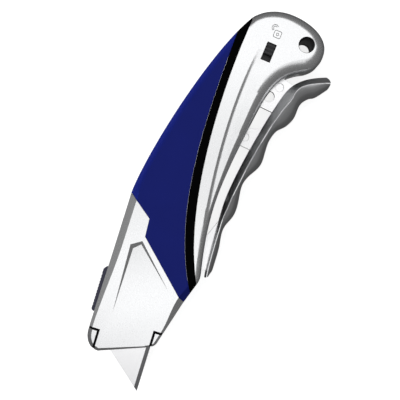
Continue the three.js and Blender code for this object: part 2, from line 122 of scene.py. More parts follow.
def turned(profile, at, sides=64, name="turned"):
    """A closed ring profile of (radius, height) pairs, turned about a vertical axis."""
    n = len(profile)
    verts, faces = [], []
    for i in range(sides):
        a = 2 * math.pi * i / sides
        verts += [(at[0] + r * math.cos(a), at[1] + r * math.sin(a), z) for r, z in profile]
        j = (i + 1) % sides
        faces += [(i * n + k, j * n + k, j * n + (k + 1) % n, i * n + (k + 1) % n) for k in range(n)]
    return new_mesh(name, verts, faces)


def hull(points, name="hull"):
    bm = bmesh.new()
    for p in points:
        bm.verts.new((Vector(p) + CENTRE) * MM)
    bmesh.ops.convex_hull(bm, input=bm.verts)
    mesh = bpy.data.meshes.new(name)
    bm.to_mesh(mesh)
    bm.free()
    obj = bpy.data.objects.new(name, mesh)
    bpy.context.scene.collection.objects.link(obj)
    face_out(obj)
    return obj


def discard(obj):
    bpy.data.objects.remove(obj, do_unlink=True)


def freeze(obj):
    """Applies every modifier."""
    graph = bpy.context.evaluated_depsgraph_get()
    mesh = bpy.data.meshes.new_from_object(obj.evaluated_get(graph))
    obj.modifiers.clear()
    obj.data = mesh


def carve(obj, *steps):
    """Applies (operation, cutter) steps: 'DIFFERENCE', 'UNION' or 'INTERSECT'."""
    for operation, cutter in steps:
        mod = obj.modifiers.new("carve", "BOOLEAN")
        mod.operation = operation
        mod.solver = "EXACT"
        mod.object = cutter
        cutter.hide_render = True
    freeze(obj)
    return obj


def copy_of(obj):
    twin = obj.copy()
    twin.data = obj.data.copy()
    bpy.context.scene.collection.objects.link(twin)
    twin.hide_render = False
    return twin


def flipped(obj):
    """The same shape below the parting plane."""
    for v in obj.data.vertices:
        v.co.z = THICK * MM - v.co.z
    face_out(obj)
    return obj


def dress(obj, name, material, body, slot, *nodes, bevel=0.12, smooth=32):
    """Names, shades and softens a finished piece, and hangs it on its body."""
    obj.name = obj.data.name = name
    bm = bmesh.new()
    bm.from_mesh(obj.data)
    bmesh.ops.remove_doubles(bm, verts=bm.verts, dist=0.004 * MM)
    bmesh.ops.dissolve_degenerate(bm, edges=bm.edges, dist=0.002 * MM)
    bm.to_mesh(obj.data)
    bm.free()
    obj.data.materials.clear()
    obj.data.materials.append(material)
    finish_edges(obj, bevel, smooth)
    obj.hide_render = False
    KEPT.append(obj)
    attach(obj, body)
    if nodes:
        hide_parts(*nodes)
    return obj


def finish_edges(obj, bevel, smooth=32):
    for polygon in obj.data.polygons:
        polygon.use_smooth = True
    obj.data.set_sharp_from_angle(angle=math.radians(smooth))
    if bevel:
        mod = obj.modifiers.new("soft_edges", "BEVEL")
        mod.width = bevel * MM
        mod.segments = 2
        mod.limit_method = "ANGLE"
        mod.angle_limit = math.radians(smooth)
        mod.use_clamp_overlap = True
    flat = obj.modifiers.new("flat_faces_stay_flat", "WEIGHTED_NORMAL")
    flat.keep_sharp = True
    flat.weight = 100


# ---------------------------------------------------------------- curves
def bezier(p0, c1, c2, p3, step=OUTLINE_STEP):
    chord = (math.dist(p0, c1) + math.dist(c1, c2) + math.dist(c2, p3) + math.dist(p0, p3)) / 2
    count = max(4, round(chord / step))
    points = []
    for i in range(count):
        t = i / count
        a, b, c, d = (1 - t) ** 3, 3 * (1 - t) ** 2 * t, 3 * (1 - t) * t * t, t ** 3
        points.append(tuple(a * p0[k] + b * c1[k] + c * c2[k] + d * p3[k] for k in (0, 1)))
    return points


def straight(p0, p3, step=OUTLINE_STEP * 2):
    count = max(1, round(math.dist(p0, p3) / step))
    return [tuple(p0[k] + (p3[k] - p0[k]) * i / count for k in (0, 1)) for i in range(count)]


def through(points, per_span=8):
    """A smooth curve through the points (Catmull-Rom), first to last."""
    ends = [points[0], *points, points[-1]]
    out = []
    for a, b, c, d in zip(ends, ends[1:], ends[2:], ends[3:]):
        for i in range(per_span):
            t = i / per_span
            out.append(tuple(
                0.5 * (2 * b[k] + (c[k] - a[k]) * t + (2 * a[k] - 5 * b[k] + 4 * c[k] - d[k]) * t * t
                       + (3 * b[k] - a[k] - 3 * c[k] + d[k]) * t ** 3) for k in (0, 1)))
    return out + [points[-1]]


def between(x, table):
    """Smooth steps between (x, value) pairs in rising order of x."""
    if x <= table[0][0]:
        return table[0][1]
    for (xa, va), (xb, vb) in zip(table, table[1:]):
        if x <= xb:
            t = (x - xa) / (xb - xa)
            t = t * t * (3 - 2 * t)
            return va + (vb - va) * t
    return table[-1][1]


def inward(points):
    """The unit normal at each point of a closed outline, pointing inside."""
    n = len(points)
    following = points[1:] + points[:1]
    area = sum(a[0] * b[1] - b[0] * a[1] for a, b in zip(points, following))
    turn = math.copysign(1, area)
    normals = []
    for i in range(n):
        a = Vector(points[i]) - Vector(points[i - 1])
        b = Vector(points[(i + 1) % n]) - Vector(points[i])
        along = (a.normalized() + b.normalized()).normalized()
        normals.append(Vector((-along.y, along.x)) * turn)
    return normals


def inset(points, distances):
    """The outline moved inwards, with the loops that form in tight corners drawn together."""
    count = len(points)
    if not isinstance(distances, (list, tuple)):
        distances = [distances] * count
    depth = np.array(distances)
    start = np.array(points)
    moved = start + np.array([n[:] for n in inward(points)]) * depth[:, None]
    edge = np.roll(start, -1, axis=0) - start
    gap = moved[:, None, :] - start[None, :, :]
    share = np.clip((gap * edge).sum(axis=2) / np.maximum((edge * edge).sum(axis=1), 1e-9), 0, 1)
    reach = np.sqrt(((gap - share[:, :, None] * edge) ** 2).sum(axis=2)).min(axis=1)
    good = reach >= depth * 0.98 - 0.004
    first = int(np.argmax(good))
    i = first
    while i < first + count:
        if good[i % count]:
            i += 1
            continue
        run = i
        while not good[run % count] and run < first + count:
            run += 1
        middle = (moved[(i - 1) % count] + moved[run % count]) / 2
        for k in range(i, run):
            moved[k % count] = middle
        i = run
    return [tuple(p) for p in moved]


# ---------------------------------------------------------------- body outlines
NOSE_SPINE = (84, -33.7)
NOSE_BELLY = (84, -9.4)
SPINE_START = (5, -33.3)


def body_outline():
    return (
        straight(NOSE_SPINE, SPINE_START)
        + bezier(SPINE_START, (-14.6, -31.7), (-64, -18.2), (-82.3, -5.3))
        + bezier((-82.3, -5.3), (-86.2, -1.6), (-88.1, 3.6), (-88.1, 9.2))
        + bezier((-88.1, 9.2), (-88.1, 16.6), (-84.4, 28.7), (-75.6, 28.7))
        + bezier((-75.6, 28.7), (-71.6, 28.7), (-69.1, 27.7), (-66.5, 23.6))
        + bezier((-66.5, 23.6), (-61.6, 11.6), (-53.4, 10.2), (-36.8, 7.3))
        + bezier((-36.8, 7.3), (-24, 4.9), (-9, 2.6), (1, 2.6))
        + bezier((1, 2.6), (12, 2.6), (22, 4.1), (30.2, 5.7))
        + bezier((30.2, 5.7), (32.4, 6.1), (33.6, 6), (36, 5.1))
        + straight((36, 5.1), (44.5, 2.1))
        + straight((44.5, 2.1), NOSE_BELLY)
        + [NOSE_BELLY]
    )


def thinned(points, gap=0.25):
    """The same outline without points that crowd together."""
    kept = [points[0]]
    for p in points[1:]:
        if math.dist(p, kept[-1]) > gap and math.dist(p, points[0]) > gap:
            kept.append(p)
    return kept


def edge_shape(x, y):
    """(width, depth, flatness) of the body's long edges: rounded, but flat at the nose."""
    spine_side = y < -0.3 * x - 9 if x > -60 else y < -2
    if spine_side:
        width = between(x, [(-84, 3.2), (-60, 3.4), (5, 3.4), (26, 3.3), (66, 1.5)])
        return width, width * 0.9, between(x, [(1, 0), (7, 1)])
    if x < -80:
        width = between(y, [(-4, 3.2), (5, 3.4), (20, 4), (28, 4.5)])
        return width, width * 0.8, 0
    width = between(x, [(-80, 4.5), (-68, 5.4), (-54, 5.4), (-30, 4.4), (0, 3.3), (30, 2.7),
                        (44, 3), (60, 1.1)])
    return width, width * 0.8, between(x, [(36, 0), (43, 1)])


def rounded_half(outline, top, name):
    """The upper half of the body under a face at the given height."""
    n = len(outline)
    verts = [(x, y, MID) for x, y in outline]
    edges = [edge_shape(x, y) for x, y in outline]
    for row in range(EDGE_ROWS + 1):
        t = row / EDGE_ROWS
        arc = t * math.pi / 2
        out = [w * ((1 - f) * (1 - math.cos(arc)) + f * t) for w, _, f in edges]
        drop = [d * ((1 - f) * (1 - math.sin(arc)) + f * (1 - t)) for _, d, f in edges]
        verts += [(x, y, top - z) for (x, y), z in zip(inset(outline, out), drop)]
    faces = [tuple(range(n))]
    for row in range(EDGE_ROWS + 1):
        low, high = row * n, (row + 1) * n
        faces += [(low + i, low + (i + 1) % n, high + (i + 1) % n, high + i) for i in range(n)]
    faces.append(tuple(range((EDGE_ROWS + 1) * n, (EDGE_ROWS + 2) * n)))
    return new_mesh(name, verts, faces)


def nose_outline():
    return (
        straight((-100, -60), (66.5, -60), 100)
        + straight((66.5, -60), (66.5, -33.7), 100)
        + bezier((66.5, -33.7), (72, -33.7), (75.2, -30.6), (74.9, -27), 0.4)
        + straight((74.9, -27), (67.6, -8.2), 100)
        + bezier((67.6, -8.2), (66.9, -6), (66, -4.2), (64.2, -3.6), 0.4)
        + straight((64.2, -3.6), (64.2, 60), 100)
        + [(64.2, 60), (-100, 60)]
    )


def nose_limit():
    """Everything behind the nose's front, narrowing at the face to a small chamfer."""
    outline = nose_outline()
    n = len(outline)
    verts = [(x, y, -1) for x, y in outline]
    low, high = [], []
    for (x, y), normal in zip(outline, inward(outline)):
        cut = between(y, [(-33.7, 1.9), (-28, 1.7), (-25, 0.3), (-9, 0.3), (-7.5, 1)])
        front = x > 60 and abs(y) < 59
        back = 2 * cut if front else 0
        low.append((x, y, THICK - cut if front else THICK + 0.2))
        high.append((x + normal.x * back, y + normal.y * back, THICK + (cut if front else 1)))
    verts += low + high
    faces = [(r * n + i, r * n + (i + 1) % n, (r + 1) * n + (i + 1) % n, (r + 1) * n + i)
             for r in (0, 1) for i in range(n)]
    return new_mesh("nose", verts, faces + [tuple(range(n)), tuple(range(2 * n, 3 * n))])


def trim_rear_edge(shift):
    edge = bezier((-81.7, -5.1), (-49.7, -9.2), (2.4, -10.4), (35.3, 5.2), 2)
    return [(x, y + shift) for x, y in [(-88, -6), *edge, (35.3, 5.2), (37, 9)]]


def trim_front_edge(shift):
    edge = bezier((-73.8, -9.8), (-38.9, -11.8), (7.3, -14.8), (39.4, 3.6), 2)
    return [(x, y + shift) for x, y in [(-77, -13), *edge, (39.4, 3.6), (41.5, 8)]]


def grip_front_edge(back):
    corners = [(44.1, 9), (44.1, 2.2), (42.8, -0.3), (21.9, -21.9), (14, -22.4), (5.9, -32.7),
               (5.9, -42)]
    return [(x - back, y) for x, y in corners]


def region(kind):
    if kind == "grip":
        return trim_front_edge(-SEAM) + grip_front_edge(SEAM) + [(-77, -42)]
    if kind == "trim":
        return trim_rear_edge(-SEAM) + trim_front_edge(SEAM)[::-1]
    return trim_rear_edge(SEAM) + grip_front_edge(-SEAM) + [(-88, -42)]


# ---------------------------------------------------------------- body cutters
WHOLE = (-1, THICK + 1)
CREASE = ((-69.6, 0.6), (-34.4, -5.8), (3.7, -1), (27.1, 2.6))


def crease_cutter():
    """Lowers the face beside the crease line; the face rises again towards the belly."""
    line = bezier(*CREASE, 2) + [CREASE[3], (34, 4)]
    reach, overshoot = 9.5, 4
    verts, faces = [], []
    for i, (x, y) in enumerate(line):
        ahead = Vector(line[min(i + 1, len(line) - 1)]) - Vector(line[max(i - 1, 0)])
        across = Vector((-ahead.y, ahead.x)).normalized()
        if across.y < 0:
            across = -across
        depth = between(x, [(-70, 0.08), (-62, 0.35), (-50, 0.5), (-20, 0.6), (20, 0.45),
                            (34, 0.3)])
        rows = [(0, 0), (0.4, -0.22), (1.1, -0.75), (1.8, -1), (4, -0.75), (reach, 0.25),
                (reach + overshoot, 1.2)]
        for out, level in rows:
            verts.append((x + across.x * out, y + across.y * out, THICK + depth * level))
        for out in (reach + overshoot, 0):
            verts.append((x + across.x * out, y + across.y * out, THICK + 3))
    n = 9
    for i in range(len(line) - 1):
        a, b = i * n, (i + 1) * n
        faces += [(a + k, a + (k + 1) % n, b + (k + 1) % n, b + k) for k in range(n)]
    faces += [tuple(range(n)), tuple(range((len(line) - 1) * n, len(line) * n))]
    return new_mesh("crease", verts, faces)


def nose_recess():
    deep = THICK - 1.25
    rim = [(26.9, -26.9), (24.1, -22.4), (41.5, -5.4), (57.4, -25.7)]
    floor = [(28.3, -25.4), (25.7, -22.5)]
    points = [(x, y, z) for x, y in rim for z in (THICK, THICK + 2)]
    return hull(points + [(x, y, deep) for x, y in floor])


NOSE_CORNERS = {"spine": (66.6, -29.7), "belly": (60.4, -5.5)}


def nose_corner(side, grow):
    x, y = NOSE_CORNERS[side]
    if side == "spine":
        return block((x - grow, 90), (-60, y + grow), WHOLE)
    return block((x - grow, 90), (y - grow, 20), WHOLE)


def lock_block(size, zs, along=0, across=0, name="lock"):
    c, s = math.cos(LOCK["angle"]), math.sin(LOCK["angle"])
    half = [(-size[0] / 2, -size[1] / 2), (size[0] / 2, -size[1] / 2),
            (size[0] / 2, size[1] / 2), (-size[0] / 2, size[1] / 2)]
    points = []
    for u, v in half:
        u, v = u + along, v + across
        points.append((LOCK["x"] + u * c - v * s, LOCK["y"] + u * s + v * c))
    return prism(points, *zs, name=name)


def button_window():
    return block((BUTTON_X[0] - 0.25, BUTTON_X[1] + 0.25), (-40, -30),
                 (BUTTON_Z[0] - 0.25, BUTTON_Z[1] + 0.25))


def lever_slot():
    return block((-65.5, LEVER_PIVOT[0] + 3.8), (-3.5, 30), (7.7, 10.3))


def shell_cutters(rail_height):
    """What both halves lose, and what stands in their hollow."""
    hollow = prism(thinned(inset(body_outline(), WALL)), MID - 1, THICK - WALL)
    hollow = carve(hollow, ("INTERSECT", block((-90, 56.5), (-50, 40), WHOLE)))
    high = THICK - WALL + 0.4
    cuts = [
        hollow, lever_slot(), button_window(),
        block((55.5, 90), (-25.3, -5.6), (MID - 0.6, MID + 0.6)),
        block((38.4, 61), (-30.4, -26.8), (4.4, THICK - 4.4)),
        nose_corner("spine", 1.05), nose_corner("belly", 1.05), nose_recess(),
    ]
    adds = [disc(at, 2.8, (MID, high), 32)
            for name, at in SCREWS.items() if name != "case_screw_nose"]
    adds += [
        disc(HANG_HOLE, HANG_HOLE_R + 1.8, (MID, high)),
        disc(LEVER_PIVOT, 3.2, (10.3, high)),
        block((4, 56.6), (-25.6, -24.2), (rail_height, high)),
        block((4, 56.6), (-8, -6.6), (rail_height, high)),
    ]
    return cuts, adds


# ---------------------------------------------------------------- materials
def material(name, color, metallic, roughness, **extra):
    """A principled material with a fine grain, soft mottling and, where asked, painted shade on faces
    that lean off the flat.
    """
    mat = bpy.data.materials.new(name)
    mat.use_nodes = True
    nodes, links = mat.node_tree.nodes, mat.node_tree.links
    shader = nodes["Principled BSDF"]
    shader.inputs["Metallic"].default_value = metallic
    shader.inputs["Coat Weight"].default_value = extra.get("coat", 0)
    shader.inputs["Coat Roughness"].default_value = 0.35
    shader.inputs["Specular IOR Level"].default_value = extra.get("specular", 0.5)
    shader.inputs["Anisotropic"].default_value = extra.get("anisotropic", 0)

    place = nodes.new("ShaderNodeTexCoord")
    stretch = nodes.new("ShaderNodeMapping")
    stretch.inputs["Scale"].default_value = extra.get("stretch", (1, 1, 1))
    links.new(place.outputs["Object"], stretch.inputs["Vector"])

    mottle = nodes.new("ShaderNodeTexNoise")
    mottle.inputs["Scale"].default_value = extra.get("mottle_scale", 90)
    mottle.inputs["Detail"].default_value = 4
    links.new(place.outputs["Object"], mottle.inputs["Vector"])
    shade = nodes.new("ShaderNodeMix")
    shade.data_type = "RGBA"
    spread = extra.get("spread", 0.06)
    shade.inputs["A"].default_value = (*[c * (1 - spread) for c in color], 1)
    shade.inputs["B"].default_value = (*[min(1, c * (1 + spread)) for c in color], 1)
    links.new(mottle.outputs["Fac"], shade.inputs["Factor"])
    tint = shade.outputs["Result"]
    # Painted shade: faces tilted off the flat get a dark colour in place of their dark reflection.
    if "ground" in extra:
        tint = paint_slope_shade(nodes, links, tint, extra["ground"])
    links.new(tint, shader.inputs["Base Color"])

    grain = nodes.new("ShaderNodeTexNoise")
    grain.inputs["Scale"].default_value = extra.get("grain_scale", 2600)
    grain.inputs["Detail"].default_value = 3
    links.new(stretch.outputs["Vector"], grain.inputs["Vector"])
    rough = nodes.new("ShaderNodeMapRange")
    rough.inputs["To Min"].default_value = roughness * 0.85
    rough.inputs["To Max"].default_value = roughness * 1.15
    links.new(grain.outputs["Fac"], rough.inputs["Value"])
    links.new(rough.outputs["Result"], shader.inputs["Roughness"])
    bump = nodes.new("ShaderNodeBump")
    bump.inputs["Strength"].default_value = extra.get("bump", 0.15)
    bump.inputs["Distance"].default_value = extra.get("bump_depth", 0.00004)
    links.new(grain.outputs["Fac"], bump.inputs["Height"])
    links.new(bump.outputs["Normal"], shader.inputs["Normal"])
    return mat


def paint_slope_shade(nodes, links, tint, color):
    """Gives faces that lean away from the flat, such as a bevelled edge, painted shade: a dark colour
    chosen by tilt, standing in for their dark reflection.
    """
    surface = nodes.new("ShaderNodeNewGeometry")
    split = nodes.new("ShaderNodeSeparateXYZ")
    links.new(surface.outputs["True Normal"], split.inputs[0])
    level = nodes.new("ShaderNodeMath")
    level.operation = "ABSOLUTE"
    links.new(split.outputs["Z"], level.inputs[0])
    slope = nodes.new("ShaderNodeMath")
    slope.operation = "LESS_THAN"
    slope.inputs[1].default_value = 0.996
    links.new(level.outputs[0], slope.inputs[0])
    mix = nodes.new("ShaderNodeMix")
    mix.data_type = "RGBA"
    links.new(slope.outputs[0], mix.inputs["Factor"])
    links.new(tint, mix.inputs["A"])
    mix.inputs["B"].default_value = (*color, 1)
    return mix.outputs["Result"]


LOOKS = {
    "cast_body": material("cast_body", (0.84, 0.845, 0.855), 1, 0.27, spread=0.012, bump=0.02),
    # Painted shade: the lever is the same cast metal as the body, given a darker base to stand in for
    # the dark reflections of its sloped sides.
    "cast_lever": material("cast_lever", (0.72, 0.725, 0.735), 1, 0.3, spread=0.05),
    # Painted shade: the lever plate's sloped edges are painted near-black.
    "plate_steel": material("plate_steel", (0.86, 0.86, 0.87), 1, 0.25, spread=0.03,
                            stretch=(1, 12, 12), bump=0.12, ground=(0.06, 0.06, 0.06)),
    "soft_grip": material("soft_grip", (0.0035, 0.0085, 0.125), 0, 0.5, specular=0.09,
                          grain_scale=3200, bump=0.3, spread=0.08),
    "black_trim": material("black_trim", (0.0006, 0.0006, 0.0007), 0, 0.55, specular=0.02,
                           grain_scale=3200, bump=0.25, spread=0.2),
    "button_plastic": material("button_plastic", (0.036, 0.036, 0.058), 0, 0.5, specular=0.25,
                               bump=0.3, spread=0.12),
    "bright_steel": material("bright_steel", (0.86, 0.86, 0.87), 1, 0.25, spread=0.03,
                             stretch=(1, 12, 12), bump=0.2),
    # Painted shade: the blade's bevelled cutting edge is painted dark grey for its dark reflection.
    "blade_steel": material("blade_steel", (0.84, 0.84, 0.85), 1, 0.22, spread=0.02,
                            stretch=(1, 14, 14), grain_scale=1800, bump=0.12,
                            ground=(0.13, 0.13, 0.135)),
    # Painted shade for the L-shaped gap beside the nose corners.
    "painted_gap_shade": material("painted_gap_shade", (0.006, 0.006, 0.007), 0, 0.6, specular=0.1, spread=0.2),
    "bush": material("bush_black", (0.025, 0.025, 0.026), 0, 0.3, specular=0.6, spread=0.2),
    "mark": material("mark_grey", (0.08, 0.08, 0.085), 0, 0.6, specular=0.2, spread=0.1),
    "lock": material("lock_black", (0.018, 0.018, 0.02), 0, 0.42, specular=0.4, bump=0.3,
                     spread=0.2),
}


# ---------------------------------------------------------------- body pieces
def build_body():
    outline = body_outline()
    nose = nose_limit()
    form = carve(rounded_half(outline, THICK, "form"), ("INTERSECT", nose))
    core = rounded_half(thinned(inset(outline, SKIN + 0.1)), THICK - SKIN - 0.1, "core")
    under = rounded_half(thinned(inset(outline, SKIN)), THICK - SKIN, "under")
    skin_space = carve(prism(region("skin"), MID - 1, THICK + 1), ("DIFFERENCE", core))

    def skin(kind):
        return carve(
            copy_of(form),
            ("INTERSECT", prism(region(kind), *WHOLE)),
            ("DIFFERENCE", under),
            ("DIFFERENCE", lever_slot()),
        )

    def shell(rail_height, *more):
        cuts, adds = shell_cutters(rail_height)
        steps = [("DIFFERENCE", skin_space)]
        steps += [("DIFFERENCE", c) for c in cuts]
        steps += [("UNION", a) for a in adds]
        steps += [("DIFFERENCE", disc(HANG_HOLE, HANG_HOLE_R, WHOLE, 72))]
        steps += [("DIFFERENCE", disc(LEVER_PIVOT, 1.8, (MID, THICK - WALL)))]
        steps += [("DIFFERENCE", m) for m in more]
        return carve(copy_of(form), *steps)

    left_holes = [disc(at, 1.5, (MID - 1, 14), 24) for at in SCREWS.values()]
    left = shell(10.8, crease_cutter(), lock_block(LOCK["size"], (THICK - WALL - 1, THICK + 1)),
                 *padlock(0.02, THICK - 0.14, THICK + 1), *left_holes)
    dress(left, "left_half", LOOKS["cast_body"], "handle", "cast_body", "left_shell")

    right_holes = [disc(at, 1.5, (MID - 1, THICK + 1), 24) for at in SCREWS.values()]
    right_holes += [disc(at, 2.2, (THICK - 2.4, THICK + 1), 40) for at in SCREWS.values()]
    right = flipped(shell(12.1, crease_cutter(), *right_holes))
    dress(right, "right_half", LOOKS["cast_body"], "handle", "cast_body", "right_shell")

    for kind, look in (("grip", "soft_grip"), ("trim", "black_trim")):
        piece = skin(kind)
        twin = flipped(copy_of(piece))
        dress(piece, "left_" + kind + "_skin", LOOKS[look], "handle", look, "left_" + kind)
        dress(twin, "right_" + kind + "_skin", LOOKS[look], "handle", look, "right_" + kind)

    for side in ("spine", "belly"):
        upper = carve(copy_of(form), ("INTERSECT", nose_corner(side, -0.02)))
        step = carve(copy_of(form), ("INTERSECT", nose_corner(side, 1)),
                     ("DIFFERENCE", block((50, 90), (-50, 20), (THICK - 2.2, THICK + 1))))
        carve(upper, ("UNION", step))
        discard(step)
        lower = flipped(copy_of(upper))
        whole = carve(upper, ("UNION", lower))
        discard(lower)
        dress(whole, "nose_" + side + "_corner", LOOKS["cast_body"], "handle", "cast_body",
              "nose_corner_" + side, bevel=0.12)
        # Painted shade: the lower step and the faces down in the L-shaped gap are painted near-black
        # where the gap lies in shade.
        whole.data.materials.append(LOOKS["painted_gap_shade"])
        corner_x, corner_y = NOSE_CORNERS[side]
        near = 0.08
        for face in whole.data.polygons:
            x, y, z = Vector(face.center) / MM - CENTRE
            on_step = abs(abs(z - MID) - (MID - 2.2)) < 0.05 and abs(face.normal.z) > 0.9
            inboard = y > corner_y - near if side == "spine" else y < corner_y + near
            beside = x < corner_x + near or inboard
            if on_step or beside:
                face.material_index = 1

    mark, *rest = padlock(-0.02, THICK - 0.13, THICK - 0.05)
    carve(mark, *[("UNION", p) for p in rest])
    for p in rest:
        discard(p)
    dress(mark, "lock_mark", LOOKS["mark"], "handle", "black_trim", bevel=0)


def stroke(points, width, z0, z1, closed=False):
    """A line of the given width, drawn on the face as a thin solid."""
    n = len(points)
    left, right = [], []
    for i, p in enumerate(points):
        before = points[i - 1] if i or closed else points[0]
        after = points[(i + 1) % n] if i < n - 1 or closed else points[-1]
        along = (Vector(after) - Vector(before)).normalized()
        side = Vector((-along.y, along.x)) * width / 2
        left.append(tuple(Vector(p) + side))
        right.append(tuple(Vector(p) - side))
    if not closed:
        return prism(left + right[::-1], z0, z1)
    verts = [(*p, z) for z in (z0, z1) for ring in (left, right) for p in ring]
    faces = []
    for i in range(n):
        j = (i + 1) % n
        a, b, c, d = i, n + i, 2 * n + i, 3 * n + i
        e, f, g, h = j, n + j, 2 * n + j, 3 * n + j
        faces += [(a, e, f, b), (c, d, h, g), (a, c, g, e), (b, f, h, d)]
    return new_mesh("stroke", verts, faces)


def padlock(grow, z0, z1):
    """An open padlock: a rounded body with a keyhole, and a swung-open shackle."""
    width = 0.24 + 2 * grow
    turn = Matrix.Rotation(LOCK["angle"], 2)
    centre = Vector((-77.6, 6.9))

    def put(points):
        return [tuple(turn @ Vector(p) + centre) for p in points]

    corner, half_x, half_y = 0.55, 1.5, 1.55
    body = []
    for cx, cy, start in ((1, 1, 0), (-1, 1, 90), (-1, -1, 180), (1, -1, 270)):
        for step in range(5):
            a = math.radians(start + step * 22.5)
            body.append((cx * (half_x - corner) + corner * math.cos(a),
                         cy * (half_y - corner) + corner * math.sin(a)))
    key = [(0.55 * math.cos(a), 0.55 * math.sin(a)) for a in [i * math.pi / 8 for i in range(16)]]
    shackle = []
    for radius, start, step in ((1.4, 130, 17), (0.75, 334, -17)):
        for i in range(13):
            a = math.radians(start + i * step)
            shackle.append((-2.25 + radius * math.cos(a), -1.95 + radius * math.sin(a)))
    return [
        stroke(put(body), width, z0, z1, closed=True),
        stroke(put(key), width * 0.9, z0, z1, closed=True),
        stroke(put(shackle), width, z0, z1),
    ]


def hang_bush():
    bore, outside = 3.0, HANG_HOLE_R - 0.06
    profile = [(outside, 0.7), (outside, THICK - 0.7), (outside - 0.2, THICK - 0.55)]
    steps = 6
    for i in range(steps):
        z = THICK - 0.8 - i * 1.1
        profile += [(bore + 0.34 - 0.05 * i, z), (bore + 0.12 - 0.02 * i, z - 0.55)]
    lower = [(r, THICK - z) for r, z in profile[2:]][::-1]
    profile = [(outside, 0.7), (outside, THICK - 0.7)] + profile[2:] + lower
    dress(turned(profile, HANG_HOLE, 72), "hang_bush", LOOKS["bush"], "handle",
          "black_trim", "hang_hole_bush", bevel=0, smooth=50)


# ---------------------------------------------------------------- lever
LEVER_OUTER = [
    (30.6, 9.3), (29, 10.1), (26, 10.3), (18, 10.2), (12, 9.5), (8, 9.8), (3, 11.9), (-0.5, 12.5),
    (-4, 12.4), (-11, 11.8), (-15.6, 13.1), (-20.5, 16.1), (-24, 17.2), (-30, 17.2), (-34, 17.5),
    (-38.6, 19.2), (-42, 22.6), (-46.5, 24.9), (-52.7, 25.7), (-56.1, 28.2), (-57.8, 31.1),
    (-62.6, 35.2),
]
LEVER_Z = (2.5, 15.5)


def lever_inner():
    return (
        bezier((-67.3, 33), (-65.7, 28.4), (-63.2, 21.4), (-56.6, 18.3))
        + bezier((-56.6, 18.3), (-49.6, 15), (-14, 6.3), (0.5, 6.4))
        + bezier((0.5, 6.4), (10, 6.5), (20, 6.7), (28.9, 7.4))
        + [(28.9, 7.4)]
    )


def lever_outline():
    front = [(28.9, 7.4), (31.4, 7.2), (31.8, 7.6)]
    tip = bezier((-62.6, 35.2), (-64.2, 35.4), (-66.6, 35.3), (-67.3, 33), 0.5)[1:]
    return lever_inner()[:-1] + front + through(LEVER_OUTER, 7) + tip


def crossing(origin, direction, line):
    """The distance from origin along direction to a line of points."""
    best = None
    for a, b in zip(line, line[1:]):
        edge = Vector(b) - Vector(a)
        gap = Vector(a) - origin
        det = direction.x * -edge.y + edge.x * direction.y
        if abs(det) < 1e-9:
            continue
        along = (gap.x * -edge.y + edge.x * gap.y) / det
        share = (direction.x * gap.y - direction.y * gap.x) / det
        if -0.001 <= share <= 1.001 and along > 0.3 and (best is None or along < best):
            best = along
    return best


def lever_handle():
    """Lofted across: inner face, sloped band, narrow crest and a rounded finger side."""
    inner = lever_inner()
    inner = [(-67.9, 35.6), (-67.6, 34.3)] + inner + [(30.5, 7.55), (32.5, 7.8)]
    outer = [(35, 8.6), (33, 9.2)] + through(LEVER_OUTER, 7) + [(-66, 38.4), (-69, 41)]
    crest_table = [(-67, 3), (-61.5, 2.7), (-54, 4), (-47, 3.3), (-38, 2.8), (-14, 2.5),
                   (-3, 2.2), (7, 1.2), (29, 0.8)]
    arc_rows = 9
    loops = []
    for i, p in enumerate(inner):
        along = Vector(inner[min(i + 1, len(inner) - 1)]) - Vector(inner[max(i - 1, 0)])
        across = Vector((-along.y, along.x)).normalized()
        width = crossing(Vector(p), across, outer) or (loops[-1][0] if loops else 5)
        crest = min(between(p[0], crest_table), width * 0.62)
        top = LEVER_Z[1] - MID
        section = [(0, 2.9), (crest - 0.14, top), (crest + 0.22, top)]
        for k in range(1, arc_rows + 1):
            t = math.sin(math.pi / 2 * k / arc_rows)
            fall = 1 - 0.27 * t - 0.73 * t ** 4
            section.append((crest + 0.22 + (width - crest - 0.22) * t, top * fall))
        section += [(u, -h) for u, h in section[::-1][1:]]
        loops.append((width, [(p[0] + across.x * u, p[1] + across.y * u, MID + h) for u, h in section]))
    n = len(loops[0][1])
    verts = [v for _, ring in loops for v in ring]
    faces = [(i * n + k, i * n + (k + 1) % n, (i + 1) * n + (k + 1) % n, (i + 1) * n + k)
             for i in range(len(loops) - 1) for k in range(n)]
    faces += [tuple(range(n)), tuple(range((len(loops) - 1) * n, len(loops) * n))]
    handle = new_mesh("lever", verts, faces)
    plate_room = prism([(29, 9.2), (0.5, 8.6), (-31, 16), (-56, 22), (-59.8, 22.3), (-62, 16),
                        (-40, 5), (30, 0)], 7.85, 10.15)
    carve(handle, ("INTERSECT", prism(lever_outline(), 0, THICK)), ("DIFFERENCE", plate_room))
    dress(handle, "lever_grip", LOOKS["cast_lever"], "lever", "cast_lever", "lever_handle",
          bevel=0, smooth=30)


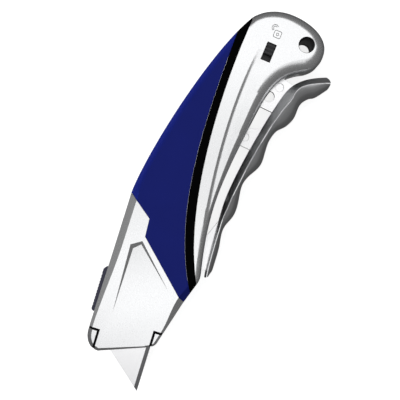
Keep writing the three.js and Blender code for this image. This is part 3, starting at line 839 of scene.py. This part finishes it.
# ---------------------------------------------------------------- small parts
def lock_knob():
    length = LOCK["size"][0] - LOCK["travel"] - 0.45
    back = -(LOCK["size"][0] - length) / 2 + 0.12
    width = LOCK["size"][1] - 0.4
    base = lock_block((11.4, 6.2), (13, 14.7), back)
    waves = 3
    rows = 18
    verts, faces = [], []
    c, s = math.cos(LOCK["angle"]), math.sin(LOCK["angle"])
    for i in range(rows + 1):
        u = back - length / 2 + length * i / rows
        crown = 0.28 * abs(math.sin(math.pi * waves * i / rows)) ** 0.7
        for v, z in ((-width / 2, 13.2), (width / 2, 13.2), (width / 2, THICK - 0.35 + crown),
                     (-width / 2, THICK - 0.35 + crown)):
            verts.append((LOCK["x"] + u * c - v * s, LOCK["y"] + u * s + v * c, z))
    faces = [(4 * i + k, 4 * i + (k + 1) % 4, 4 * i + 4 + (k + 1) % 4, 4 * i + 4 + k)
             for i in range(rows) for k in range(4)]
    faces += [(0, 1, 2, 3), (4 * rows, 4 * rows + 1, 4 * rows + 2, 4 * rows + 3)]
    knob = new_mesh("knob", verts, faces)
    carve(base, ("UNION", knob))
    discard(knob)
    dress(base, "lock_knob", LOOKS["lock"], "lock", "black_trim", "lock_slide",
          bevel=0.1, smooth=25)


def release_button():
    x0, x1 = BUTTON_X
    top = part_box("blade_release_button")[0][1] / MM - CENTRE.y
    outline = [(x0, -29.6)]
    outline += bezier((x0, -33.6), (x0, -34.9), (x0 + 0.4, top), (x0 + 1.6, top), 0.3)
    ribs = 11
    start, end = x0 + 2.2, x1 - 2.2
    for i in range(ribs):
        a = start + (end - start) * i / ribs
        b = start + (end - start) * (i + 1) / ribs
        outline += [(a, top), (a + (b - a) * 0.55, top), (a + (b - a) * 0.62, top + 0.22),
                    (b - (b - a) * 0.1, top + 0.22)]
    outline += [(end, top)]
    outline += bezier((x1 - 1.6, top), (x1 - 0.4, top), (x1, -34.9), (x1, -33.6), 0.3)
    outline += [(x1, -33.6), (x1, -29.6)]
    cap = prism(outline, *BUTTON_Z)
    flange = block((x0 - 1, x1 + 0.6), (-30.2, -29.1), (BUTTON_Z[0] - 0.5, BUTTON_Z[1] + 0.5))
    carve(cap, ("UNION", flange))
    discard(flange)
    dress(cap, "release_button", LOOKS["button_plastic"], "release", "button_plastic",
          "blade_release_button", bevel=0.14, smooth=25)


def keep_cad_nodes():
    """Nodes whose own shape is right get a finish and soft edges."""
    slots = {s["node"]: s["material_slot"] for s in frame["record"]["subparts"]}
    replaced = {"left_shell", "right_shell", "left_grip", "right_grip", "left_trim", "right_trim",
                "nose_corner_spine", "nose_corner_belly", "hang_hole_bush", "lever_handle",
                "lock_slide", "blade_release_button"}
    edges = {"lever_plate": 0.2, "blade": 0, "blade_carriage": 0.2, "rocker_arm": 0.15}
    for name, obj in frame["nodes"].items():
        if name in replaced:
            continue
        obj.data.materials.clear()
        obj.data.materials.append(LOOKS["plate_steel" if name == "lever_plate" else slots[name]])
        mod = obj.modifiers.new("smooth", "WELD")
        mod.merge_threshold = 0.00001
        width = edges.get(name, 0.08)
        if width:
            bevel = obj.modifiers.new("soft_edges", "BEVEL")
            bevel.width = width * MM
            bevel.segments = 2
            bevel.limit_method = "ANGLE"
            bevel.angle_limit = math.radians(35)


# ---------------------------------------------------------------- studio
def floor():
    size = 3
    verts = [(-size, -size, 0), (size, -size, 0), (size, size, 0), (-size, size, 0)]
    mesh = bpy.data.meshes.new("floor")
    mesh.from_pydata(verts, [], [(0, 1, 2, 3)])
    obj = bpy.data.objects.new("floor", mesh)
    bpy.context.scene.collection.objects.link(obj)
    mat = bpy.data.materials.new("light_table")
    mat.use_nodes = True
    shader = mat.node_tree.nodes["Principled BSDF"]
    shader.inputs["Base Color"].default_value = (0.45, 0.45, 0.45, 1)
    shader.inputs["Roughness"].default_value = 0.9
    shader.inputs["Specular IOR Level"].default_value = 0.1
    shader.inputs["Emission Color"].default_value = (1, 1, 1, 1)
    shader.inputs["Emission Strength"].default_value = 0.82
    mesh.materials.append(mat)
    obj.location.z = -0.0003
    obj.visible_glossy = False


def softbox(name, at, aim, size, power, glossy, diffuse):
    light = bpy.data.lights.new(name, "AREA")
    light.shape = "RECTANGLE"
    light.size, light.size_y = size
    light.energy = power
    obj = bpy.data.objects.new(name, light)
    obj.location = at
    obj.rotation_euler = (Vector(aim) - Vector(at)).to_track_quat("-Z", "Y").to_euler()
    obj.visible_glossy = glossy
    obj.visible_diffuse = diffuse
    bpy.context.scene.collection.objects.link(obj)
    return obj


def sky():
    """Grey all round, a little lighter towards the top, dark below."""
    world = bpy.data.worlds.new("studio")
    bpy.context.scene.world = world
    world.use_nodes = True
    nodes, links = world.node_tree.nodes, world.node_tree.links
    place = nodes.new("ShaderNodeTexCoord")
    split = nodes.new("ShaderNodeSeparateXYZ")
    links.new(place.outputs["Generated"], split.inputs[0])
    ramp = nodes.new("ShaderNodeValToRGB")
    stops = [(0.0, 0.08), (0.48, 0.12), (0.55, 0.16), (0.8, 0.18), (1.0, 0.22)]
    lift = nodes.new("ShaderNodeMapRange")
    lift.inputs["From Min"].default_value = -1
    links.new(split.outputs["Z"], lift.inputs["Value"])
    links.new(lift.outputs["Result"], ramp.inputs["Fac"])
    elements = ramp.color_ramp.elements
    for position, value in stops[1:-1]:
        elements.new(position)
    for element, (position, value) in zip(sorted(elements, key=lambda e: e.position), stops):
        element.position = position
        element.color = (value, value, value, 1)
    links.new(ramp.outputs["Color"], nodes["Background"].inputs["Color"])


def camera():
    """Straight above the knife, turned so that the nose points down and left."""
    distance, half_view, sensor = 0.347, 0.088, 36
    data = bpy.data.cameras.new("camera")
    data.lens = distance * sensor / 2 / half_view
    data.sensor_width = sensor
    obj = bpy.data.objects.new("camera", data)
    lean = math.radians(17.1)               # how far the nose points left of straight down
    right = Vector((-math.sin(lean), math.cos(lean), 0))
    up = Vector((-math.cos(lean), -math.sin(lean), 0))
    turn = Matrix((right, up, Vector((0, 0, 1)))).transposed().to_4x4()
    spot = Vector((-0.2 * MM, -3.95 * MM, MID * MM + distance))
    obj.matrix_world = Matrix.Translation(spot) @ turn
    bpy.context.scene.collection.objects.link(obj)
    bpy.context.scene.camera = obj


# ---------------------------------------------------------------- the scene
build_body()
hang_bush()
lever_handle()
lock_knob()
release_button()
keep_cad_nodes()
for leftover in [o for o in bpy.data.objects if o.type == "MESH" and o not in KEPT]:
    discard(leftover)

floor()
sky()
softbox("overhead", (0, 0, 0.9), (0, 0, 0), (0.86, 0.6), 1.16, True, False)
softbox("overhead_tail", (-0.33, 0, 0.89), (-0.33, 0, 0), (0.34, 0.6), 0.32, True, False)
softbox("overhead_nose", (0.15, -0.02, 0.89), (0.15, -0.02, 0), (0.16, 0.5), 0.15, True, False)
softbox("fill", (0, 0, 1.3), (0, 0, 0), (1.6, 1.6), 9, False, True)
softbox("side_fill", (-0.3, -1.0, 0.5), (0, 0, 0), (0.8, 0.6), 14, False, True)
softbox("spine_side", (0.1, -1.2, 0.3), (0, 0, 0), (1.6, 0.5), 0.75, True, False)
camera()
bpy.context.scene.view_settings.view_transform = "Standard"
